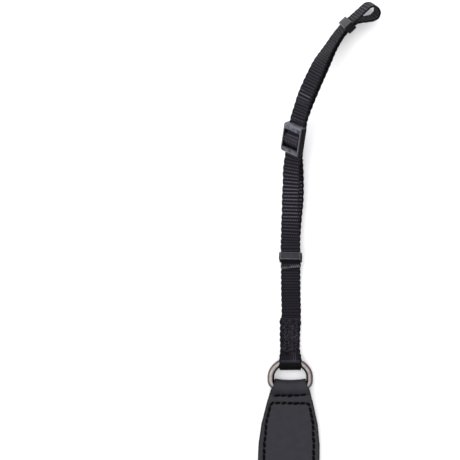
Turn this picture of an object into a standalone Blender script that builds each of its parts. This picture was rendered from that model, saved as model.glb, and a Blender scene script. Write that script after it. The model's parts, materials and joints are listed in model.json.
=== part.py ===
"""A camera neck strap, laid open on a table as a long U.

A leather shoulder strap of two sewn layers runs round the bend of the U. Each of its ends is folded round
the straight bar of a D-ring. A length of flat webbing is sewn round each ring's arch, runs up through a
keeper and a three-bar adjuster, through a second keeper, makes the eye for the camera's lug, and comes
back on top of itself to a tail end below the first keeper.

The right arm is modelled, and the left arm is its mirror image. Every piece is laid along one route, which
starts at the tip of the lug loop and ends in the middle of the shoulder strap. A place on the strap is given
by its distance along the route, across it (towards the inside of the U) and up from the webbing's underside.
"""

import math

import bmesh
import bpy
import numpy as np
from mathutils import Matrix, Vector

MM = 0.001

# Flat webbing, half an inch wide
WEBBING_WIDTH = 12.7
WEBBING_THICKNESS = 1.3
LAYER_GAP = 0.3
LOWER_LAYER = WEBBING_THICKNESS / 2
UPPER_LAYER = LOWER_LAYER + WEBBING_THICKNESS + LAYER_GAP
BETWEEN_LAYERS = (LOWER_LAYER + UPPER_LAYER) / 2

# Leather shoulder strap
LEATHER_WIDTH = 41.0
LEATHER_THICKNESS = 1.6
BACKING_HEIGHT = LEATHER_THICKNESS / 2
FACE_HEIGHT = BACKING_HEIGHT + LEATHER_THICKNESS + LAYER_GAP
FLAP_LENGTH = 8.2
FLAP_HEIGHT = 2.6
FLAP_HALF_WIDTH = 10.9
BACKING_GAP = 0.5
FOLD_SLACK = 0.5
FOLD_HALF_WIDTH = 9.6
TURN_SLACK = 0.3
BEND_RADIUS = 120.0

# D-ring of round wire
WIRE = 4.6
RING_WIDTH = 30.4
RING_CORNER = 4.4
RING_SIDE = 2.0
RING_ARCH = 10.8
RING_HEIGHT = 4.2
FOLD_RADIUS = WIRE / 2 + LAYER_GAP + LEATHER_THICKNESS / 2
CREST_HEIGHT = RING_HEIGHT + WIRE / 2 + LAYER_GAP + WEBBING_THICKNESS / 2

# Three-bar adjuster: its outer bars lie over the webbing, which rises through it over its middle bar
ADJUSTER_WIDTH = 16.2
ADJUSTER_LENGTH = 20.4
ADJUSTER_INNER_WIDTH = 13.4
ADJUSTER_TOP = 7.0
RAIL_UNDERSIDE = 3.0
OUTER_BAR_UNDERSIDE = 3.5
UPPER_BAR_LENGTH = 4.1
LOWER_BAR_LENGTH = 3.3
MIDDLE_BAR_TOP = 4.2
MIDDLE_BAR_THICKNESS = 1.8
MIDDLE_BAR_AT = 0.5
BAR_ROUNDING = 1.2
WEAVE_RISE = MIDDLE_BAR_TOP + LAYER_GAP
WEAVE_REACH = 6.9

# Keepers: moulded loops round both layers of webbing
KEEPER_WALL = 0.8
KEEPER_INNER_WIDTH = 13.5
UPPER_KEEPER = {"length": 6.2, "inner_depth": 4.5, "lean": 0.0}
LOWER_KEEPER = {"length": 5.0, "inner_depth": 6.2, "lean": 22.0}

# Eye of the lug loop
EYE_RADIUS = 4.6
EYE_LENGTH = 19.0

# Places along the route, from the tip of the lug loop
UPPER_KEEPER_AT = 22.6
ADJUSTER_AT = 109.1
LOWER_KEEPER_AT = 190.0
TAIL_END_AT = 196.6
SEWN_END_AT = 230.7
CREST_AT = 259.1
BAR_AT = CREST_AT + RING_CORNER + RING_SIDE + RING_ARCH
BEND_ROWS_FROM = BAR_AT + 150.0

# The webbing's route: out from the middle of the U, along it, the height of the resting edge (mm), and how
# far the band rolls on to that edge (degrees)
WEBBING_ROUTE = (
    # out, along, lift, roll
    (64.6, 261.9, 4.0, 68.0),
    (70.1, 256.7, 3.6, 66.0),
    (76.0, 251.3, 3.0, 65.0),
    (81.7, 246.3, 2.4, 65.0),
    (87.1, 240.0, 1.6, 64.0),
    (92.3, 232.0, 4.5, 60.0),
    (99.3, 218.7, 12.0, 47.0),
    (105.6, 205.3, 16.2, 42.0),
    (110.9, 192.7, 15.2, 40.0),
    (113.9, 183.8, 11.8, 39.0),
    (114.6, 178.5, 9.4, 39.0),
    (115.3, 173.3, 7.0, 39.0),
    (116.0, 168.1, 4.6, 39.0),
    (116.5, 162.9, 2.2, 39.0),
    (116.6, 160.0, 0.9, 38.0),
    (116.5, 156.0, 0.1, 36.0),
    (116.3, 148.7, 0.0, 34.0),
    (116.6, 132.0, 0.0, 30.0),
    (118.1, 118.7, 0.2, 25.0),
    (119.4, 105.3, 1.6, 14.0),
    (119.6, 93.3, 3.0, 6.0),
    (119.6, 82.0, 1.8, 3.0),
    (119.5, 70.0, 0.4, 1.0),
    (119.2, 58.0, 0.0, 0.0),
    (120.0, 40.0, 0.0, 0.0),
    (120.0, 25.3, 0.0, 0.0),
)
# The leather's route from the ring to the bend, where the strap stands on its edge
LEATHER_ROUTE = (
    (120.0, 8.0, 0.0, 0.0),
    (120.4, -20.0, 0.0, 0.0),
    (121.2, -53.0, 0.0, 0.0),
    (121.2, -75.0, 0.0, 12.0),
    (120.8, -98.0, 0.0, 45.0),
    (120.3, -121.0, 0.0, 78.0),
)
BEND_START = -140.2
BEND_STEP = 15

# Height of the webbing's upper layer above the lower one's level, and its drift away from the inside
UPPER_LAYER_ROWS = (
    # at, height, drift
    (UPPER_KEEPER_AT + 14.0, 0.0, 0.0),
    (UPPER_KEEPER_AT + 36.0, 1.6, 0.0),
    (ADJUSTER_AT - 34.0, 1.7, 0.0),
    (ADJUSTER_AT - 12.0, 0.0, 0.0),
    (ADJUSTER_AT + 10.0, 0.0, 0.0),
    (ADJUSTER_AT + 25.0, 2.5, 0.5),
    (ADJUSTER_AT + 41.0, 2.7, 0.9),
    (ADJUSTER_AT + 56.0, 1.0, 0.5),
    (ADJUSTER_AT + 68.0, 0.0, 0.0),
)
# Rise of both layers over the adjuster's middle bar
WEAVE_ROWS = (
    # at, rise
    (ADJUSTER_AT + MIDDLE_BAR_AT - WEAVE_REACH, 0.0),
    (ADJUSTER_AT + MIDDLE_BAR_AT - 0.3, WEAVE_RISE),
    (ADJUSTER_AT + MIDDLE_BAR_AT + 0.3, WEAVE_RISE),
    (ADJUSTER_AT + MIDDLE_BAR_AT + WEAVE_REACH, 0.0),
)
# The sewn part's upper layer, spread by its stitching and lifted over the ring's arch
SEWN_ROWS = (
    # at, height, half width, drift
    (SEWN_END_AT, UPPER_LAYER, 7.1, 0.5),
    (SEWN_END_AT + 7.0, UPPER_LAYER, 6.7, 0.2),
    (CREST_AT - 7.5, UPPER_LAYER, 6.8, 0.0),
    (CREST_AT - 0.3, CREST_HEIGHT, 7.0, 0.0),
)
# The leather beyond the ring's bar: half its width, and the face layer's way down on to the backing, from
# which it parts a little where the strap turns on to its edge
LEATHER_EDGE = (
    # past the bar, half width
    (-1.0, 11.8),
    (0.5, 12.5),
    (9.9, 15.2),
    (25.2, 18.8),
    (37.9, 20.3),
    (46.0, LEATHER_WIDTH / 2),
)
FACE_DESCENT = (
    # past the bar, height
    (0.5, RING_HEIGHT + FOLD_RADIUS),
    (5.8, 4.5),
    (9.0, 4.35),
    (45.0, FACE_HEIGHT),
    (70.0, FACE_HEIGHT),
    (95.0, FACE_HEIGHT + TURN_SLACK),
    (135.0, FACE_HEIGHT + TURN_SLACK),
    (160.0, FACE_HEIGHT),
)


def clear_scene():
    """Remove whatever the scene holds."""
    for item in list(bpy.data.objects):
        bpy.data.objects.remove(item, do_unlink=True)


def new_collection(name):
    """A collection in the scene."""
    collection = bpy.data.collections.new(name)
    bpy.context.scene.collection.children.link(collection)
    return collection


def material(name, colour, roughness, metallic=0.0):
    """A plain material of one colour."""
    result = bpy.data.materials.new(name)
    result.use_nodes = True
    shader = result.node_tree.nodes["Principled BSDF"]
    shader.inputs["Base Color"].default_value = (*colour, 1.0)
    shader.inputs["Roughness"].default_value = roughness
    shader.inputs["Metallic"].default_value = metallic
    return result


# ---- the route -------------------------------------------------------------------------------------------


def route_rows():
    """Rows of the whole route: out, along, lift, roll in radians, and half the width that rolls."""
    rows = []
    for table, width in ((WEBBING_ROUTE, WEBBING_WIDTH), (LEATHER_ROUTE, LEATHER_WIDTH)):
        rows += [(out, along, lift, math.radians(roll), width / 2) for out, along, lift, roll in table]
    for degrees in range(0, 90 + 2 * BEND_STEP, BEND_STEP):
        turn = math.radians(degrees)
        out = BEND_RADIUS * math.cos(turn)
        along = BEND_START - BEND_RADIUS * math.sin(turn)
        rows.append((out, along, 0.0, math.pi / 2, LEATHER_WIDTH / 2))
    return np.array(rows)


def distances(points):
    """Distance of each point along the line through them all."""
    return np.concatenate([[0.0], np.cumsum(np.linalg.norm(np.diff(points, axis=0), axis=1))])


def smooth_curve(rows, step=0.5):
    """Close points on a smooth curve through the rows: cubic pieces that take each row's slope from its
    neighbours."""
    knots = distances(rows[:, :2])
    slopes = np.gradient(rows, knots, axis=0)
    places = np.arange(0.0, knots[-1], step)
    piece = np.clip(np.searchsorted(knots, places, side="right") - 1, 0, len(knots) - 2)
    length = (knots[piece + 1] - knots[piece])[:, None]
    part = (places - knots[piece])[:, None] / length
    start, end = rows[piece], rows[piece + 1]
    rise_start, rise_end = slopes[piece] * length, slopes[piece + 1] * length
    return (
        start * (1 + 2 * part) * (1 - part) ** 2
        + rise_start * part * (1 - part) ** 2
        + end * part**2 * (3 - 2 * part)
        + rise_end * part**2 * (part - 1)
    )


def centre_line():
    """Points of the band's middle, out, along and height, with the roll: its lower edge rests at the lift."""
    out, along, lift, roll, half_width = smooth_curve(route_rows()).T
    roll = np.clip(roll, 0.0, math.pi / 2)
    height = np.maximum(lift, 0.0) + half_width * np.sin(roll)
    return np.stack([out, along, height, roll], axis=1)


POINTS = centre_line()
STATIONS = distances(POINTS[:, :3])
MIDDLE_AT = float(np.interp(0.0, -POINTS[:, 0], STATIONS))


def route_point(at):
    """The route's point and roll at a distance along it."""
    return [float(np.interp(at, STATIONS, POINTS[:, column])) for column in range(4)]


def route_frame(at):
    """The route's point there and its directions across (to the inside), along (to the neck) and up."""
    reach = 1.0
    ahead = Vector(route_point(at + reach)[:3])
    behind = Vector(route_point(max(at - reach, 0.0))[:3])
    *centre, roll = route_point(at)
    along = (ahead - behind).normalized()
    level = Vector((along.y, -along.x, 0.0)).normalized()
    upright = level.cross(along)
    across = level * math.cos(roll) + upright * math.sin(roll)
    up = upright * math.cos(roll) - level * math.sin(roll)
    return Vector(centre), across, along, up


def ease(rows, at, column=1):
    """Value of a table's column at a place: level at each row, and eased between rows."""
    if at <= rows[0][0]:
        return rows[0][column]
    for before, after in zip(rows, rows[1:]):
        if at <= after[0]:
            part = (at - before[0]) / (after[0] - before[0])
            return before[column] + (after[column] - before[column]) * part * part * (3 - 2 * part)
    return rows[-1][column]


def steps(start, end, spacing):
    """Evenly spaced places from start to end, both included."""
    count = max(1, round(abs(end - start) / spacing))
    return [start + (end - start) * index / count for index in range(count + 1)]


def arc(centre_at, centre_height, radius, start, end, count):
    """Places and heights on an arc seen from the side; 0 degrees points along the route."""
    result = []
    for index in range(count + 1):
        angle = math.radians(start + (end - start) * index / count)
        result.append((centre_at + radius * math.cos(angle), centre_height + radius * math.sin(angle)))
    return result


# ---- flat bands ------------------------------------------------------------------------------------------


def band(name, collection, rows, columns, thickness, side, finish, mirrored=False):
    """A flat band laid through rows of place, height, half width and drift, and given its thickness."""
    mesh = bpy.data.meshes.new(name)
    grid = bmesh.new()
    bmesh.ops.create_grid(grid, x_segments=len(rows) - 1, y_segments=columns, size=1.0)
    for vertex in grid.verts:
        at, height, half_width, drift = rows[round((vertex.co.x + 1) / 2 * (len(rows) - 1))]
        centre, across, _, up = route_frame(at)
        place = centre + across * (vertex.co.y * half_width - drift) + up * height
        if mirrored and at >= MIDDLE_AT:
            place.x = 0.0
        vertex.co = Vector((place.x * side, place.y, place.z)) * MM
    bmesh.ops.recalc_face_normals(grid, faces=grid.faces)
    grid.to_mesh(mesh)
    grid.free()
    mesh.shade_smooth()
    result = bpy.data.objects.new(name, mesh)
    collection.objects.link(result)
    mesh.materials.append(finish)
    if mirrored:
        mirror = result.modifiers.new("other_arm", "MIRROR")
        mirror.merge_threshold = 0.0001
    solid = result.modifiers.new("thickness", "SOLIDIFY")
    solid.thickness = thickness * MM
    solid.offset = 0.0
    solid.use_even_offset = True
    return result


def weave(places, offset):
    """A layer's places and heights where both rise over the middle bar, offset from the line between them."""
    result = []
    for at in places:
        slope = (ease(WEAVE_ROWS, at + 0.05) - ease(WEAVE_ROWS, at - 0.05)) / 0.1
        length = math.hypot(1.0, slope)
        height = BETWEEN_LAYERS + ease(WEAVE_ROWS, at)
        result.append((at - offset * slope / length, height + offset / length))
    return result


def webbing_rows():
    """The webbing from its sewn end, round the ring, to the lug loop and back to its tail end."""
    half = WEBBING_WIDTH / 2
    ring_radius = (CREST_HEIGHT - LOWER_LAYER) / 2
    ring_centre = CREST_AT + 2.1
    eye_centre = EYE_RADIUS + WEBBING_THICKNESS / 2
    eye_height = UPPER_LAYER - EYE_RADIUS
    eye_rows = ((eye_centre, UPPER_LAYER - 2 * EYE_RADIUS), (EYE_LENGTH, LOWER_LAYER))
    slide = (WEAVE_ROWS[0][0] - 0.6, WEAVE_ROWS[-1][0] + 0.6)

    sewn_places = steps(SEWN_END_AT, SEWN_ROWS[2][0], 3.5)[:-1] + steps(SEWN_ROWS[2][0], CREST_AT, 0.9)
    rows = [(at, *(ease(SEWN_ROWS, at, column) for column in (1, 2, 3))) for at in sewn_places]
    for at, height in arc(ring_centre, LOWER_LAYER + ring_radius, ring_radius, 90, -90, 10):
        rows.append((at, height, SEWN_ROWS[-1][2] if height > RING_HEIGHT else half, 0.0))
    lower = [(at, LOWER_LAYER) for at in steps(CREST_AT, slide[1] + 1.0, 4.0)]
    lower += weave(steps(slide[1], slide[0], 0.6), LOWER_LAYER - BETWEEN_LAYERS)
    lower += [(at, LOWER_LAYER) for at in steps(slide[0] - 1.0, EYE_LENGTH + 1.0, 4.0)]
    lower += [(at, ease(eye_rows, at)) for at in steps(EYE_LENGTH, eye_centre, 1.3)[:-1]]
    lug_loop = arc(eye_centre, eye_height, EYE_RADIUS, 270, 90, 10)
    upper_places = steps(eye_centre + 2.0, slide[0] - 1.5, 4.0)
    upper = [(at, UPPER_LAYER + ease(UPPER_LAYER_ROWS, at)) for at in upper_places]
    upper += weave(steps(slide[0], slide[1], 0.6), UPPER_LAYER - BETWEEN_LAYERS)
    upper_places = steps(slide[1] + 1.5, TAIL_END_AT, 3.5)
    upper += [(at, UPPER_LAYER + ease(UPPER_LAYER_ROWS, at)) for at in upper_places]
    rows += [(at, height, half, 0.0) for at, height in lower + lug_loop]
    rows += [(at, height, half, ease(UPPER_LAYER_ROWS, at, column=2)) for at, height in upper]
    return rows


def leather_half_width(past_bar):
    """Half the leather's width at a distance past the ring's bar."""
    places, widths = zip(*LEATHER_EDGE)
    return float(np.interp(past_bar, places, widths))


def strap_places():
    """Places along the even-width leather: close together in its turn on to its edge, then to the middle."""
    return steps(BAR_AT + 62.0, BEND_ROWS_FROM, 3.4)[:-1] + steps(BEND_ROWS_FROM, MIDDLE_AT, 7.0)


def face_rows():
    """The face layer from its flap's end, round the ring's bar, to the middle of the bend."""
    flap_rows = ((0.0, RING_HEIGHT - FOLD_RADIUS), (6.0, FLAP_HEIGHT))
    rows = []
    for past in steps(FLAP_LENGTH, 0.0, 1.4):
        rows.append((BAR_AT + past, ease(flap_rows, past), FLAP_HALF_WIDTH + past / 4, 0.0))
    for at, height in arc(BAR_AT - FOLD_SLACK, RING_HEIGHT, FOLD_RADIUS, -90, -270, 12)[1:]:
        rise = abs(height - RING_HEIGHT) / FOLD_RADIUS
        rows.append((at, height, FOLD_HALF_WIDTH + 1.6 * rise**4, 0.0))
    for past in steps(0.8, 10.0, 1.0) + steps(13.0, 58.0, 3.75):
        rows.append((BAR_AT + past, ease(FACE_DESCENT, past), leather_half_width(past), 0.0))
    for at in strap_places():
        rows.append((at, ease(FACE_DESCENT, at - BAR_AT), LEATHER_WIDTH / 2, 0.0))
    return rows


def backing_rows():
    """The backing layer, from just past the face layer's flap to the middle of the bend."""
    under_face = FACE_HEIGHT - BACKING_HEIGHT
    rows = []
    for past in steps(FLAP_LENGTH + BACKING_GAP, 12.0, 1.7) + steps(16.0, 58.0, 4.2):
        height = ease(FACE_DESCENT, past) - under_face
        rows.append((BAR_AT + past, height, leather_half_width(past), 0.0))
    rows += [(at, BACKING_HEIGHT, LEATHER_WIDTH / 2, 0.0) for at in strap_places()]
    return rows


# ---- hard pieces -----------------------------------------------------------------------------------------


def place(piece, at, side, height=0.0, lean=0.0):
    """Set a hard piece on the strap: local X across, Y along towards the neck, Z up, then leant over."""
    centre, across, along, up = route_frame(at)
    centre = centre + up * height
    axes = Matrix((across, along, up)).transposed().to_4x4()
    axes.translation = centre * MM
    if side < 0:
        mirror = Matrix.Diagonal((-1.0, 1.0, 1.0, 1.0))
        axes = mirror @ axes @ mirror
    piece.matrix_world = axes @ Matrix.Rotation(math.radians(lean), 4, "X")


def block(name, collection, low, high, rounding=0.0, rounded_axis=None):
    """A box between two corners; the edges along one axis, or all of them, may be rounded."""
    mesh = bpy.data.meshes.new(name)
    shape = bmesh.new()
    bmesh.ops.create_cube(shape, size=1.0)
    low, high = Vector(low), Vector(high)
    for vertex in shape.verts:
        vertex.co = Vector(l + (h - l) * (c + 0.5) for l, h, c in zip(low, high, vertex.co)) * MM
    if rounding:
        edges = [
            edge
            for edge in shape.edges
            if rounded_axis is None
            or abs((edge.verts[0].co - edge.verts[1].co).normalized()[rounded_axis]) > 0.9
        ]
        bmesh.ops.bevel(shape, geom=edges, offset=rounding * MM, segments=4, profile=0.5, affect="EDGES")
    shape.to_mesh(mesh)
    shape.free()
    result = bpy.data.objects.new(name, mesh)
    collection.objects.link(result)
    return result


def prism(name, collection, half_width, section):
    """A shape with the same section, given as local Y and Z, all the way across."""
    mesh = bpy.data.meshes.new(name)
    shape = bmesh.new()
    corners = [shape.verts.new(Vector((-half_width, along, height)) * MM) for along, height in section]
    moved = bmesh.ops.extrude_face_region(shape, geom=[shape.faces.new(corners)])["geom"]
    corners = [item for item in moved if isinstance(item, bmesh.types.BMVert)]
    bmesh.ops.translate(shape, verts=corners, vec=(2 * half_width * MM, 0.0, 0.0))
    bmesh.ops.recalc_face_normals(shape, faces=shape.faces)
    shape.to_mesh(mesh)
    shape.free()
    result = bpy.data.objects.new(name, mesh)
    collection.objects.link(result)
    return result


def cut(piece, cutter, operation="DIFFERENCE"):
    """Join a cutter to a piece with a Boolean modifier."""
    cutter.hide_render = True
    cutter.display_type = "WIRE"
    cutter.parent = piece
    modifier = piece.modifiers.new(cutter.name, "BOOLEAN")
    modifier.operation = operation
    modifier.object = cutter


def d_ring(name, collection, side, finish):
    """A closed wire: a straight bar at local Y 0, two round corners, short sides and a low arch."""
    half = (RING_WIDTH - WIRE) / 2
    points = []
    for degrees in range(-90, 1, 15):
        angle = math.radians(degrees)
        across = half - RING_CORNER + RING_CORNER * math.cos(angle)
        points.append((across, RING_CORNER + RING_CORNER * math.sin(angle)))
    base = RING_CORNER + RING_SIDE
    for degrees in range(0, 91, 9):
        angle = math.radians(degrees)
        points.append((half * math.cos(angle), base + RING_ARCH * math.sin(angle)))
    points += [(-across, along) for across, along in reversed(points[:-1])]
    wire = bpy.data.curves.new(name, "CURVE")
    wire.dimensions = "3D"
    wire.bevel_depth = WIRE / 2 * MM
    wire.bevel_resolution = 3
    spline = wire.splines.new("POLY")
    spline.points.add(len(points) - 1)
    for point, (across, along) in zip(spline.points, points):
        point.co = (across * MM, -along * MM, 0.0, 1.0)
    spline.use_cyclic_u = True
    wire.materials.append(finish)
    result = bpy.data.objects.new(name, wire)
    collection.objects.link(result)
    place(result, BAR_AT, side, height=RING_HEIGHT)
    return result


def adjuster(name, collection, cutters, side, finish):
    """A moulded slide: a frame of two rails and two outer bars, with a lower, round-edged middle bar."""
    half_width = ADJUSTER_WIDTH / 2
    half_length = ADJUSTER_LENGTH / 2
    inner = ADJUSTER_INNER_WIDTH / 2
    bar = MIDDLE_BAR_THICKNESS
    body = block(
        name,
        collection,
        (-half_width, -half_length, RAIL_UNDERSIDE),
        (half_width, half_length, ADJUSTER_TOP),
        rounding=2.0,
        rounded_axis=2,
    )
    body.data.materials.append(finish)
    upper_edge = -half_length + UPPER_BAR_LENGTH
    lower_edge = half_length - LOWER_BAR_LENGTH
    rounding_height = OUTER_BAR_UNDERSIDE + BAR_ROUNDING
    section = [(-half_length - 1.0, RAIL_UNDERSIDE - 1.0), (-half_length - 1.0, OUTER_BAR_UNDERSIDE)]
    section += arc(upper_edge - BAR_ROUNDING, rounding_height, BAR_ROUNDING, -90, 0, 4)
    section += [(upper_edge, ADJUSTER_TOP + 1.0), (lower_edge, ADJUSTER_TOP + 1.0)]
    section += arc(lower_edge + BAR_ROUNDING, rounding_height, BAR_ROUNDING, 180, 270, 4)
    section += [(half_length + 1.0, OUTER_BAR_UNDERSIDE), (half_length + 1.0, RAIL_UNDERSIDE - 1.0)]
    passage = prism(name + "_passage", cutters, inner, section)
    middle_bar = block(
        name + "_middle_bar",
        cutters,
        (-half_width + 0.4, MIDDLE_BAR_AT - bar / 2, MIDDLE_BAR_TOP - bar),
        (half_width - 0.4, MIDDLE_BAR_AT + bar / 2, MIDDLE_BAR_TOP),
        rounding=0.7,
        rounded_axis=0,
    )
    cut(body, passage)
    edges = body.modifiers.new("soft_edges", "BEVEL")
    edges.width = 0.45 * MM
    edges.segments = 2
    edges.limit_method = "ANGLE"
    edges.angle_limit = math.radians(50)
    cut(body, middle_bar, "UNION")
    place(body, ADJUSTER_AT, side)
    return body


def keeper(name, collection, sizes, at, side, finish):
    """A moulded loop: a round-cornered tube that the webbing runs through."""
    half_width = (KEEPER_INNER_WIDTH + KEEPER_WALL) / 2
    half_depth = (sizes["inner_depth"] + KEEPER_WALL) / 2
    half_length = sizes["length"] / 2
    loop = block(
        name,
        collection,
        (-half_width, -half_length, -half_depth),
        (half_width, half_length, half_depth),
        rounding=1.1,
        rounded_axis=1,
    )
    shape = bmesh.new()
    shape.from_mesh(loop.data)
    ends = [face for face in shape.faces if abs(face.normal.y) > 0.9]
    bmesh.ops.delete(shape, geom=ends, context="FACES")
    shape.to_mesh(loop.data)
    shape.free()
    loop.data.materials.append(finish)
    wall = loop.modifiers.new("wall", "SOLIDIFY")
    wall.thickness = KEEPER_WALL * MM
    wall.offset = 0.0
    wall.use_even_offset = True
    edges = loop.modifiers.new("soft_edges", "BEVEL")
    edges.width = 0.25 * MM
    edges.segments = 1
    edges.limit_method = "ANGLE"
    edges.angle_limit = math.radians(50)
    place(loop, at, side, height=(LOWER_LAYER + UPPER_LAYER) / 2, lean=sizes["lean"])
    return loop


def build():
    """All pieces of the strap."""
    clear_scene()
    strap = new_collection("camera_neck_strap")
    cutters = new_collection("cutters")
    leather = material("leather", (0.045, 0.047, 0.052), 0.55)
    backing = material("leather_backing", (0.035, 0.035, 0.038), 0.7)
    nylon = material("webbing", (0.022, 0.02, 0.026), 0.6)
    steel = material("ring_steel", (0.42, 0.38, 0.36), 0.3, metallic=1.0)
    plastic = material("plastic", (0.07, 0.07, 0.08), 0.5)

    band("pad_face", strap, face_rows(), 2, LEATHER_THICKNESS, 1, leather, mirrored=True)
    band("pad_backing", strap, backing_rows(), 2, LEATHER_THICKNESS, 1, backing, mirrored=True)
    for arm, side in (("left", -1), ("right", 1)):
        d_ring("d_ring_" + arm, strap, side, steel)
        band("webbing_" + arm, strap, webbing_rows(), 1, WEBBING_THICKNESS, side, nylon)
        adjuster("adjuster_" + arm, strap, cutters, side, plastic)
        keeper("keeper_lower_" + arm, strap, LOWER_KEEPER, LOWER_KEEPER_AT, side, plastic)
        keeper("keeper_upper_" + arm, strap, UPPER_KEEPER, UPPER_KEEPER_AT, side, plastic)


build()
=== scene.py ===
import json
import math

import bmesh
import bpy
import numpy as np
from mathutils import Matrix, Vector

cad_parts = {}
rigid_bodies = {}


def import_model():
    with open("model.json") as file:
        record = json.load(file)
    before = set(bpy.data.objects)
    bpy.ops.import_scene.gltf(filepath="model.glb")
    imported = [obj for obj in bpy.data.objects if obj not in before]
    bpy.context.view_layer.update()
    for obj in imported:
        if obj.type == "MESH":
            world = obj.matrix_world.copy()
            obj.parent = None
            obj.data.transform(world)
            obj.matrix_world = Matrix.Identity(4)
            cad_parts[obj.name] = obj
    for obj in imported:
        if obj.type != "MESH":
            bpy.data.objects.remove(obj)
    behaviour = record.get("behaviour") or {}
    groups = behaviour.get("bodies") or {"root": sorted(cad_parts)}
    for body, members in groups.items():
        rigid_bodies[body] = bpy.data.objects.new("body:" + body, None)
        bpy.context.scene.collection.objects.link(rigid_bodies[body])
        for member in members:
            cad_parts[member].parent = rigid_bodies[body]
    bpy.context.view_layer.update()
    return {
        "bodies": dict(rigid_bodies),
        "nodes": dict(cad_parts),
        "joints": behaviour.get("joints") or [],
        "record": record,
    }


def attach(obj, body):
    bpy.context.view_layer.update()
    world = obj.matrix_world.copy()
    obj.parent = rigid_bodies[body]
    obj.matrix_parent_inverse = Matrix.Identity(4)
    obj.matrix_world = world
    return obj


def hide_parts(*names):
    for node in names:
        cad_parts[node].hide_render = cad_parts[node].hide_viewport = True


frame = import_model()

MM = 0.001

# ---- Leather backing ----
# The underside of the shoulder strap, one length of dark leather 1.6 mm thick. It lies flat below the rings,
# turns on to its edge and makes the bend of the U. It is sewn under the face layer between the folded ends.

LEATHER_WIDTH = 41.0
LEATHER_THICKNESS = 1.6
WEBBING_WIDTH = 12.7
LAYER_GAP = 0.3
# Height of each layer's middle where it lies flat, and where the backing starts past the ring's bar
BACKING_HEIGHT = LEATHER_THICKNESS / 2
FACE_HEIGHT = BACKING_HEIGHT + LEATHER_THICKNESS + LAYER_GAP
BACKING_STARTS = 8.7
# Where the ring's crest and bar are along the route, how high its wire is, and the face's fold round the bar
CREST_AT = 259.1
BAR_AT = CREST_AT + 17.2
RING_HEIGHT = 4.2
FOLD_RADIUS = 3.4
BEND_RADIUS = 120.0
BEND_START = -140.2

# The route of the webbing's middle and then of the leather's, in millimetres: out from the middle of the U,
# along it, the height of the resting edge, and the roll on to that edge in degrees
WEBBING_ROUTE = (
    (64.6, 261.9, 4, 68), (70.1, 256.7, 3.6, 66), (76, 251.3, 3, 65), (81.7, 246.3, 2.4, 65), (87.1, 240, 1.6, 64),
    (92.3, 232, 4.5, 60), (99.3, 218.7, 12, 47), (105.6, 205.3, 16.2, 42), (110.9, 192.7, 15.2, 40),
    (113.9, 183.8, 11.8, 39), (114.6, 178.5, 9.4, 39), (115.3, 173.3, 7, 39), (116, 168.1, 4.6, 39),
    (116.5, 162.9, 2.2, 39), (116.6, 160, 0.9, 38), (116.5, 156, 0.1, 36), (116.3, 148.7, 0, 34),
    (116.6, 132, 0, 30), (118.1, 118.7, 0.2, 25), (119.4, 105.3, 1.6, 14), (119.6, 93.3, 3, 6), (119.6, 82, 1.8, 3),
    (119.5, 70, 0.4, 1), (119.2, 58, 0, 0), (120, 40, 0, 0), (120, 25.3, 0, 0),
)
LEATHER_ROUTE = (
    (120, 8, 0, 0), (120.4, -20, 0, 0), (121.2, -53, 0, 0), (121.2, -75, 0, 12), (120.8, -98, 0, 45),
    (120.3, -121, 0, 78),
)


def joined(*parts):
    """The parts one after another."""
    return np.concatenate(parts)


def distances(points):
    """Distance of each point along the line through them all."""
    return joined([0.0], np.cumsum(np.linalg.norm(np.diff(points, axis=0), axis=1)))


def columns(*parts):
    """Rows with these columns, each an array or one value for every row."""
    return np.stack(np.broadcast_arrays(*parts), axis=1)


def route_points():
    """Close points of the strap's middle line, with the roll in radians."""
    rows = [(*row[:3], math.radians(row[3]), width / 2)
            for route, width in ((WEBBING_ROUTE, WEBBING_WIDTH), (LEATHER_ROUTE, LEATHER_WIDTH))
            for row in route]
    for degrees in range(0, 120, 15):
        turn = math.radians(degrees)
        along = BEND_START - BEND_RADIUS * math.sin(turn)
        rows.append((BEND_RADIUS * math.cos(turn), along, 0.0, math.pi / 2, LEATHER_WIDTH / 2))
    rows = np.array(rows)
    knots = distances(rows[:, :2])
    slopes = np.gradient(rows, knots, axis=0)
    places = np.arange(0.0, knots[-1], 0.5)
    piece = np.clip(np.searchsorted(knots, places, side="right") - 1, 0, len(knots) - 2)
    length = (knots[piece + 1] - knots[piece])[:, None]
    part = (places - knots[piece])[:, None] / length
    curve = (
        rows[piece] * (1 + 2 * part) * (1 - part) ** 2
        + slopes[piece] * length * part * (1 - part) ** 2
        + rows[piece + 1] * part**2 * (3 - 2 * part)
        + slopes[piece + 1] * length * part**2 * (part - 1)
    )
    out, along, lift, roll, half_width = curve.T
    roll = np.clip(roll, 0.0, math.pi / 2)
    return columns(out, along, np.maximum(lift, 0.0) + half_width * np.sin(roll), roll)


ROUTE = route_points()
STATIONS = distances(ROUTE[:, :3])
MIDDLE_AT = float(np.interp(0.0, -ROUTE[:, 0], STATIONS))
LEATHER_HALF_LENGTH = MIDDLE_AT - BAR_AT


def unit(vectors):
    """The same directions, each one long."""
    return vectors / np.linalg.norm(vectors, axis=-1, keepdims=True)


def route_frames(at):
    """Points of the right arm's route, and its directions across (to the inside), along and up."""
    ahead, behind, here = (
        columns(*(np.interp(place, STATIONS, column) for column in ROUTE.T))
        for place in (at + 1.0, np.maximum(at - 1.0, 0.0), at)
    )
    along = unit((ahead - behind)[:, :3])
    level = unit(columns(along[:, 1], -along[:, 0], 0.0))
    upright = np.cross(level, along)
    cosine, sine = np.cos(here[:, 3:]), np.sin(here[:, 3:])
    return here[:, :3], level * cosine + upright * sine, along, upright * cosine - level * sine


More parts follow.
